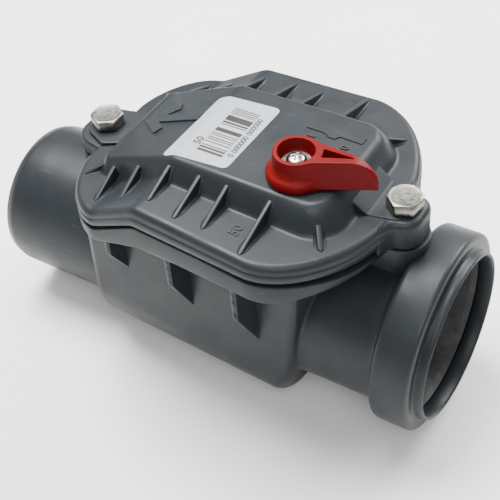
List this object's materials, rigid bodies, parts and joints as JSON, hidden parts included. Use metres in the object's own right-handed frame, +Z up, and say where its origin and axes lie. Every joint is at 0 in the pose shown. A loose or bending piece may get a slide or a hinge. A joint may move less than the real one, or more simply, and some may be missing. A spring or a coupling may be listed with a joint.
{
  "type": "backwater valve",
  "caption": "Backwater valve for a 50 mm waste pipe: grey moulded housing with spigot and socket, bolted cover, hanging flap and red lock lever.",
  "frame": {"origin": "bottom centre of the bounding box: middle of the length, centre plane, lowest level of the chamber", "axes": "+X along the pipe from the spigot (outlet) to the socket (inlet), +Z up through the cover, +Y across"},
  "size_m": [0.157, 0.0818, 0.0954],
  "materials": {
    "grey_plastic": "satin moulded polypropylene",
    "cover_plastic": "satin moulded polypropylene",
    "red_plastic": "satin moulded polypropylene",
    "dark_plastic": "moulded acetal",
    "black_rubber": "matt",
    "zinc_steel": "zinc plated",
    "stainless": "plain",
    "brass": "turned",
    "label_film": "printed film"
  },
  "bodies": {
    "valve_body": {"housing": "grey_plastic", "cover": "cover_plastic", "cover_gasket": "black_rubber", "cover_bolt_outlet": "zinc_steel", "cover_bolt_inlet": "zinc_steel", "threaded_insert_outlet": "brass", "threaded_insert_inlet": "brass", "socket_lip_seal": "black_rubber", "flap_hinge_pin": "stainless", "label": "label_film"},
    "flap": {"flap": "dark_plastic", "flap_seal": "black_rubber", "flap_seal_clamp": "dark_plastic", "flap_seal_screw_1": "stainless", "flap_seal_screw_2": "stainless", "flap_seal_screw_3": "stainless"},
    "lever": {"lever": "red_plastic", "lever_screw": "zinc_steel", "lever_screw_washer": "zinc_steel", "lock_spindle": "dark_plastic", "lock_cam": "dark_plastic", "spindle_o_ring_upper": "black_rubber", "spindle_o_ring_lower": "black_rubber", "spindle_clip": "stainless"}
  },
  "joints": [
    {"name": "flap_swing", "type": "hinge", "parent": "valve_body", "child": "flap", "pos_m": [0.0199, 0, 0.0619], "axis": [0, 1, 0], "range_deg": [0, 65]},
    {"name": "lever_turn", "type": "hinge", "parent": "valve_body", "child": "lever", "pos_m": [0.0305, -0.01, 0.0866], "axis": [0, 0, 1], "range_deg": [0, 90]}
  ]
}
